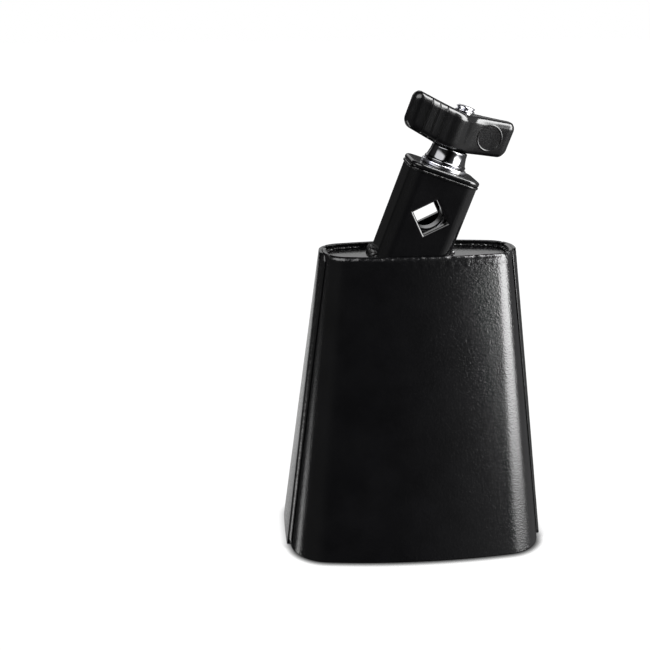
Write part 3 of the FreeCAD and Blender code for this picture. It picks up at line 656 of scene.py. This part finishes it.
def nut_hub(material):
    """Turned hub: a rounded foot and a slightly waisted cone that ends in the handle."""
    low, neck = HUB_BOTTOM, HUB_BOTTOM + HUB_NECK_HEIGHT
    step, foot_top, waist = 0.55, 1.75, 0.15
    cone = []
    for share in np.linspace(0, 1, 12):
        radius = HUB_BASE - step + (HUB_NECK - HUB_BASE + step) * share - waist * math.sin(math.pi * share)
        cone.append((radius, low + foot_top + (neck - low - foot_top) * share))
    foot_round, bore_round = 0.75, 0.4
    profile = (rounded_corner(HUB_BORE + bore_round, low + bore_round, bore_round, 180, 270, 4)
               + rounded_corner(HUB_BASE - foot_round, low + foot_round, foot_round, -90, 60, 12) + cone
               + [(HUB_NECK - 0.1, neck + 0.25), (HUB_NECK - 0.6, neck + 0.35), (HUB_BORE, neck + 0.35)])
    mesh = turned(profile, 128).mesh("nut_hub_turned")
    add_piece("nut_hub_turned", mesh, "wing_nut", material, "nut_hub")


def face_reach(along):
    """Distance of the handle's front face from the stud's axis, smoothed between its stations."""
    offsets = np.linspace(-2.4, 2.4, 13)
    weights = np.exp(-(offsets / 1.2) ** 2)
    values = [w * np.interp(along + o, FACE_STATIONS, FACE_REACH) for o, w in zip(offsets, weights)]
    return sum(values) / weights.sum()


def tooth(along):
    """Sawtooth grip on the left wing's front: a step up towards the tip, then a ramp down."""
    total = np.zeros_like(along)
    for start, end in zip(TEETH[:-1], TEETH[1:]):
        ramp = np.clip((end - along) / (end - start), 0, 1)
        step = np.clip((along - start) / TOOTH_STEP, 0, 1)
        total = np.where((along >= start) & (along < end), TOOTH_HEIGHT * ramp * step, total)
    return total


def handle_point(along, across, height):
    """Point in the handle's frame, which is swept round the stud from the bracket's."""
    cos, sin = math.cos(HANDLE_SWEEP), math.sin(HANDLE_SWEEP)
    return bracket(along * cos - across * sin, along * sin + across * cos, height)


def handle_stations():
    """Places of the handle's sections, closer together at the round ends and at the teeth's edges."""
    half = [HANDLE_HALF - WING_CORNER * (1 - math.cos(a)) for a in np.linspace(0, math.pi / 2, 14)]
    stations = list(half) + [-s for s in half] + list(np.linspace(half[-1], -half[-1], 76)[1:-1])
    for edge in TEETH[:-1]:
        for side in (-1, 1):
            stations += [side * edge, side * (edge + TOOTH_STEP / 2), side * (edge + TOOTH_STEP),
                         side * (edge - 0.12)]
    return np.unique(np.round(stations, 4))


def end_inset(from_tip, radius):
    """How far a rounding of this radius stands back at a distance from the tip."""
    if from_tip >= radius:
        return 0.0
    return radius - math.sqrt(max(radius ** 2 - (radius - from_tip) ** 2, 0.0))


def handle_loop(at):
    """Section of the handle square to its length: a rectangle with well rounded corners."""
    from_tip = HANDLE_HALF - abs(at)
    inset, corner_inset = (end_inset(from_tip, radius) for radius in (WING_END, WING_CORNER))
    size = abs(at) / HANDLE_HALF
    rise = WING_RISE_BOTTOM * max(0.0, (abs(at) - WING_ROOT) / (HANDLE_HALF - WING_ROOT))
    high = HANDLE_BOTTOM + HANDLE_HEIGHT + WING_RISE_TOP * size ** WING_CURVE - corner_inset
    low = HANDLE_BOTTOM + rise + corner_inset
    front, back = inset - face_reach(at), face_reach(-at) - inset
    middle, half = (front + back) / 2, max((back - front) / 2, 0.15)
    corner = min(WING_EDGE, half * 0.98, (high - low) / 2)
    loop = rounded_rectangle(half, (high - low) / 2, corner, 12, 9)
    facing = rounded_rectangle(half + 1, (high - low) / 2 + 1, corner + 1, 12, 9) - loop
    facing /= np.linalg.norm(facing, axis=1, keepdims=True)
    grip = tooth(at) * np.clip(-facing[:, 0], 0, 1) ** 0.6
    grip_back = tooth(-at) * np.clip(facing[:, 0], 0, 1) ** 0.6
    across = middle + loop[:, 0] - grip + grip_back
    return handle_point(np.full(len(loop), at), across, (low + high) / 2 + loop[:, 1])


def wing_handle(material):
    """Handle with two wings, lofted through its sections; the stud's bore is left out."""
    loops = np.array([handle_loop(at) for at in handle_stations()])
    surface = Surface()
    surface.grid(loops, wrap_columns=True)
    surface.fan(loops[0])
    surface.fan(loops[-1])
    add_piece("wing_handle_grip", surface.mesh("wing_handle_grip"), "wing_nut", material,
              "wing_handle")


def handle_ring(material):
    """Plain raised ring on the right wing's front face."""
    turn = np.linspace(0, 2 * math.pi, 96, endpoint=False)[:, None]
    section = np.linspace(0, 2 * math.pi, 12, endpoint=False)
    radius = RING_RADIUS + RING_LINE * np.cos(section)
    along = RING_AT + radius * np.cos(turn)
    across = -face_reach(along) - RING_PROUD * np.sin(section)
    points = handle_point(along, across, RING_UP + radius * np.sin(turn))
    surface = Surface()
    surface.grid(points, wrap_rows=True, wrap_columns=True)
    add_piece("handle_ring", surface.mesh("handle_ring"), "wing_nut", material)


# ---------------------------------------------------------------- materials
def new_material(name):
    """A node material with its nodes, links and shader."""
    material = bpy.data.materials.new(name)
    material.use_nodes = True
    shader = material.node_tree.nodes["Principled BSDF"]
    return material, material.node_tree.nodes, material.node_tree.links, shader


def noise_mm(nodes, links, size, detail):
    """Noise texture with features of about this size in millimetres."""
    place = nodes.new("ShaderNodeTexCoord")
    texture = nodes.new("ShaderNodeTexNoise")
    texture.inputs["Scale"].default_value = 1 / (size * MM)
    texture.inputs["Detail"].default_value = detail
    links.new(place.outputs["Object"], texture.inputs["Vector"])
    return texture.outputs["Fac"]


def ranged(nodes, links, value, low, high, start=0.3, end=0.7):
    """Number that goes from low to high as the value goes from start to end."""
    mapper = nodes.new("ShaderNodeMapRange")
    for name, number in (("From Min", start), ("From Max", end), ("To Min", low), ("To Max", high)):
        mapper.inputs[name].default_value = number
    links.new(value, mapper.inputs["Value"])
    return mapper.outputs["Result"]


def tinted(nodes, links, value, dark, light, start=0.3, end=0.7):
    """Colour that goes from dark to light as the value goes from start to end."""
    ramp = nodes.new("ShaderNodeValToRGB")
    ramp.color_ramp.elements[0].position, ramp.color_ramp.elements[1].position = start, end
    ramp.color_ramp.elements[0].color, ramp.color_ramp.elements[1].color = dark + (1,), light + (1,)
    links.new(value, ramp.inputs["Fac"])
    return ramp.outputs["Color"]


def bumped(nodes, links, shader, heights):
    """Chains bumps from (height socket, strength, depth in mm)."""
    normal = None
    for height, strength, depth in heights:
        bump = nodes.new("ShaderNodeBump")
        bump.inputs["Strength"].default_value = strength
        bump.inputs["Distance"].default_value = depth * MM
        links.new(height, bump.inputs["Height"])
        if normal is not None:
            links.new(normal, bump.inputs["Normal"])
        normal = bump.outputs["Normal"]
    links.new(normal, shader.inputs["Normal"])


def powder_coat(name, grain):
    """Black satin coat; grain is the strength of its fine orange peel."""
    material, nodes, links, shader = new_material(name)
    shader.inputs["IOR"].default_value = 1.5
    peel = noise_mm(nodes, links, 0.65, 2.0)
    patches = noise_mm(nodes, links, 14.0, 4.0)
    links.new(tinted(nodes, links, patches, (0.0014, 0.0014, 0.0016), (0.0024, 0.0024, 0.0027)),
              shader.inputs["Base Color"])
    links.new(ranged(nodes, links, peel, 0.13, 0.21), shader.inputs["Roughness"])
    bumped(nodes, links, shader, [(peel, grain, 0.1)])
    return material


def painted_weld():
    material, nodes, links, shader = new_material("painted_weld")
    lumps = noise_mm(nodes, links, 1.3, 4.0)
    fine = noise_mm(nodes, links, 0.4, 2.0)
    links.new(tinted(nodes, links, lumps, (0.002, 0.002, 0.002), (0.004, 0.004, 0.0043)),
              shader.inputs["Base Color"])
    links.new(ranged(nodes, links, fine, 0.12, 0.24), shader.inputs["Roughness"])
    bumped(nodes, links, shader, [(lumps, 0.3, 0.15), (fine, 0.15, 0.04)])
    return material


def bright_zinc():
    material, nodes, links, shader = new_material("bright_zinc")
    shader.inputs["Metallic"].default_value = 1.0
    film = noise_mm(nodes, links, 3.5, 3.0)
    fine = noise_mm(nodes, links, 0.5, 3.0)
    links.new(tinted(nodes, links, film, (0.62, 0.63, 0.72), (0.85, 0.84, 0.8)), shader.inputs["Base Color"])
    links.new(ranged(nodes, links, fine, 0.12, 0.26), shader.inputs["Roughness"])
    bumped(nodes, links, shader, [(fine, 0.12, 0.1)])
    return material


def shaded_zinc():
    """Zinc painted darker as shade, for the eye bolt's ring inside the bracket tube."""
    material, nodes, links, shader = new_material("shaded_zinc")
    shader.inputs["Metallic"].default_value = 1.0
    film = noise_mm(nodes, links, 2.5, 3.0)
    fine = noise_mm(nodes, links, 0.4, 3.0)
    # darker colours than the bright zinc: painted shade on the ring
    links.new(tinted(nodes, links, film, (0.1, 0.1, 0.11), (0.19, 0.19, 0.19)), shader.inputs["Base Color"])
    links.new(ranged(nodes, links, fine, 0.16, 0.32), shader.inputs["Roughness"])
    bumped(nodes, links, shader, [(fine, 0.15, 0.1)])
    return material


def black_chrome():
    material, nodes, links, shader = new_material("black_chrome")
    shader.inputs["Metallic"].default_value = 1.0
    film = noise_mm(nodes, links, 5.0, 2.0)
    fine = noise_mm(nodes, links, 0.6, 2.0)
    links.new(tinted(nodes, links, film, (0.1, 0.1, 0.105), (0.14, 0.14, 0.145)), shader.inputs["Base Color"])
    links.new(ranged(nodes, links, fine, 0.05, 0.11), shader.inputs["Roughness"])
    bumped(nodes, links, shader, [(film, 0.05, 0.1)])
    return material


def black_plastic():
    material, nodes, links, shader = new_material("black_plastic")
    grain = noise_mm(nodes, links, 0.45, 3.0)
    patches = noise_mm(nodes, links, 7.0, 3.0)
    links.new(tinted(nodes, links, patches, (0.0018, 0.0018, 0.002), (0.003, 0.003, 0.0032)),
              shader.inputs["Base Color"])
    links.new(ranged(nodes, links, grain, 0.14, 0.24), shader.inputs["Roughness"])
    bumped(nodes, links, shader, [(grain, 0.5, 0.04)])
    return material


# ---------------------------------------------------------------- studio
class Wiring:
    """Small helper for arithmetic in a node tree."""

    def __init__(self, tree):
        self.nodes, self.links = tree.nodes, tree.links

    def math(self, operation, *values):
        node = self.nodes.new("ShaderNodeMath")
        node.operation = operation
        for socket, value in zip(node.inputs, values):
            if isinstance(value, (int, float)):
                socket.default_value = value
            else:
                self.links.new(value, socket)
        return node.outputs["Value"]

    def total(self, first, *others):
        """Sum of sockets and numbers."""
        for value in others:
            first = self.math("ADD", first, value)
        return first

    def rise(self, value, start, end):
        """0 below start, 1 above end, smooth between; start may be above end."""
        node = self.nodes.new("ShaderNodeMapRange")
        node.interpolation_type = "SMOOTHSTEP"
        low, high = min(start, end), max(start, end)
        node.inputs["From Min"].default_value, node.inputs["From Max"].default_value = low, high
        if start > end:
            node.inputs["To Min"].default_value, node.inputs["To Max"].default_value = 1.0, 0.0
        self.links.new(value, node.inputs["Value"])
        return node.outputs["Result"]

    def band(self, value, edges):
        """1 between the two middle edges, 0 beyond the outer two; the edges are in degrees."""
        start, full, last, end = (math.radians(edge) for edge in edges)
        return self.math("MULTIPLY", self.rise(value, start, full), self.rise(value, end, last))


def panel(wires, turn, height, sides, ends, strength):
    """Soft light panel seen in one range of directions: (start, full, full, end) round and up, in degrees."""
    shape = wires.math("MULTIPLY", wires.band(turn, sides), wires.band(height, ends))
    return wires.math("MULTIPLY", shape, strength)


def studio_light():
    """White surroundings for the camera; for the object, a dark front, a pale back and tall side panels."""
    world = bpy.data.worlds.new("studio")
    bpy.context.scene.world = world
    world.use_nodes = True
    tree = world.node_tree
    wires = Wiring(tree)
    background = tree.nodes["Background"]
    place = tree.nodes.new("ShaderNodeTexCoord")
    split = tree.nodes.new("ShaderNodeSeparateXYZ")
    tree.links.new(place.outputs["Generated"], split.inputs["Vector"])
    x, y, z = (split.outputs[axis] for axis in "XYZ")
    turn = wires.math("ARCTAN2", x, wires.math("MULTIPLY", y, -1.0))     # 0 in front, 90 degrees on the right
    height = wires.math("ARCSINE", z)
    behind = wires.rise(y, 0.75, 0.93)
    table = wires.math("MULTIPLY", wires.rise(z, -0.19, -0.27), 0.75)
    backdrop = wires.rise(z, 0.08, 0.26)
    pale_back = wires.math("MULTIPLY", wires.total(table, backdrop, 0.02), behind)
    # the right panel's edges lean towards the back, above the level line and below it
    slant = wires.math("MAXIMUM", wires.math("MULTIPLY", height, 0.5), wires.math("MULTIPLY", height, -0.8))
    lean = wires.math("SUBTRACT", turn, slant)
    # the tall right panel and a faint glow round it, faint light and a low narrow strip on the left, and a
    # high panel there
    right = panel(wires, lean, height, sides=(29, 42, 72, 78), ends=(-17.5, -2, 62, 75), strength=18.0)
    glow = panel(wires, turn, height, sides=(5, 55, 65, 170), ends=(-70, -45, 62, 75), strength=0.5)
    faint = panel(wires, turn, height, sides=(-150, -100, -50, -5), ends=(-70, -45, 30, 60), strength=0.1)
    strip = panel(wires, turn, height, sides=(-114, -108, -103, -98), ends=(-60, -50, -19, -11), strength=5.0)
    high = panel(wires, turn, height, sides=(-92, -80, -25, -12), ends=(22, 30, 62, 72), strength=5.0)
    light = wires.total(pale_back, 0.012, right, glow, high, faint, strip)
    tree.links.new(light, background.inputs["Strength"])
    plain = tree.nodes.new("ShaderNodeBackground")
    plain.inputs["Color"].default_value = (1, 1, 1, 1)
    seen = tree.nodes.new("ShaderNodeLightPath")
    mix = tree.nodes.new("ShaderNodeMixShader")
    tree.links.new(seen.outputs["Is Camera Ray"], mix.inputs["Fac"])
    tree.links.new(background.outputs["Background"], mix.inputs[1])
    tree.links.new(plain.outputs["Background"], mix.inputs[2])
    background.inputs["Color"].default_value = (1, 1, 1, 1)
    tree.links.new(mix.outputs["Shader"], tree.nodes["World Output"].inputs["Surface"])


def pale_floor():
    """Plain pale floor that glows evenly, with a painted contact shadow only close to the bell, darkest in
    front of it.
    """
    surface = Surface()
    reach, level = 3000.0, -0.02
    surface.grid(np.array([[(-reach, -reach, level), (reach, -reach, level)],
                           [(-reach, reach, level), (reach, reach, level)]]))
    mesh = surface.mesh("floor", closed=False)
    floor = bpy.data.objects.new("floor", mesh)
    bpy.context.collection.objects.link(floor)
    floor.visible_glossy = False
    material, nodes, links, shader = new_material("pale_floor")
    shader.inputs["Base Color"].default_value = (0.0, 0.0, 0.0, 1)
    shader.inputs["Roughness"].default_value = 1.0
    shader.inputs["Specular IOR Level"].default_value = 0.0
    # ambient occlusion that paints the contact shadow onto the glowing floor
    painted_shadow_ao = nodes.new("ShaderNodeAmbientOcclusion")
    painted_shadow_ao.samples = 16
    painted_shadow_ao.inputs["Distance"].default_value = 3.4 * MM
    wires = Wiring(material.node_tree)
    place = nodes.new("ShaderNodeTexCoord")
    split = nodes.new("ShaderNodeSeparateXYZ")
    links.new(place.outputs["Object"], split.inputs["Vector"])
    # the painted shadow is strongest in front of the bell and weaker beside and behind it
    beside = wires.rise(split.outputs["Y"], -0.024, -0.01)
    depth = wires.math("SUBTRACT", 5.0, wires.math("MULTIPLY", beside, 4.2))
    lit = wires.math("POWER", painted_shadow_ao.outputs["AO"], depth)
    links.new(wires.math("MULTIPLY", lit, 1.05), shader.inputs["Emission Strength"])
    shader.inputs["Emission Color"].default_value = (1, 1, 1, 1)
    mesh.materials.append(material)


def photo_camera():
    """Camera a little left of the front, looking down at the bell."""
    turn, tilt = math.radians(4.97), math.radians(19.01)
    distance, aside, above = 449.66, 37.67, -28.70
    right = Vector((math.cos(turn), -math.sin(turn), 0))
    up = Vector((math.sin(turn) * math.sin(tilt), math.cos(turn) * math.sin(tilt), math.cos(tilt)))
    ahead = Vector((math.sin(turn) * math.cos(tilt), math.cos(turn) * math.cos(tilt), -math.sin(tilt)))
    middle = Vector((0, 0, BELL_HEIGHT / 2))
    place = (middle - aside * right - above * up - distance * ahead) * MM
    data = bpy.data.cameras.new("camera")
    data.lens, data.sensor_width = 58.28, 36.0
    data.clip_start, data.clip_end = 0.01, 50.0
    camera = bpy.data.objects.new("camera", data)
    bpy.context.collection.objects.link(camera)
    turned_to = Matrix((right, up, -ahead)).transposed().to_4x4()
    camera.matrix_world = Matrix.Translation(place) @ turned_to
    bpy.context.scene.camera = camera


def main():
    coat, smooth_coat = powder_coat("powder_coat", 0.9), powder_coat("smooth_powder_coat", 0.25)
    weld, zinc, chrome, plastic = painted_weld(), bright_zinc(), black_chrome(), black_plastic()
    rear_shell(coat)
    front_shell(coat)
    seam_weld(-1, "left_seam_bead", "left_seam_weld", weld)
    seam_weld(1, "right_seam_bead", "right_seam_weld", weld)
    crown_weld(weld)
    bracket_tube(smooth_coat)
    bracket_cap(smooth_coat)
    cap_weld(weld)
    foot_weld(-1, "left_foot_bead", "left_foot_weld", weld)
    foot_weld(1, "right_foot_bead", "right_foot_weld", weld)
    # the eye ring takes the darker zinc, a painted-shade copy of the bright zinc
    eye_ring(shaded_zinc())
    threaded_stud(zinc)
    flat_washer(zinc)
    nut_hub(chrome)
    wing_handle(plastic)
    handle_ring(plastic)
    # the crown plate keeps its CAD mesh
    for slot in frame["nodes"]["crown_plate"].material_slots:
        slot.material = smooth_coat
    studio_light()
    pale_floor()
    photo_camera()
    bpy.context.scene.view_settings.view_transform = "Standard"


main()
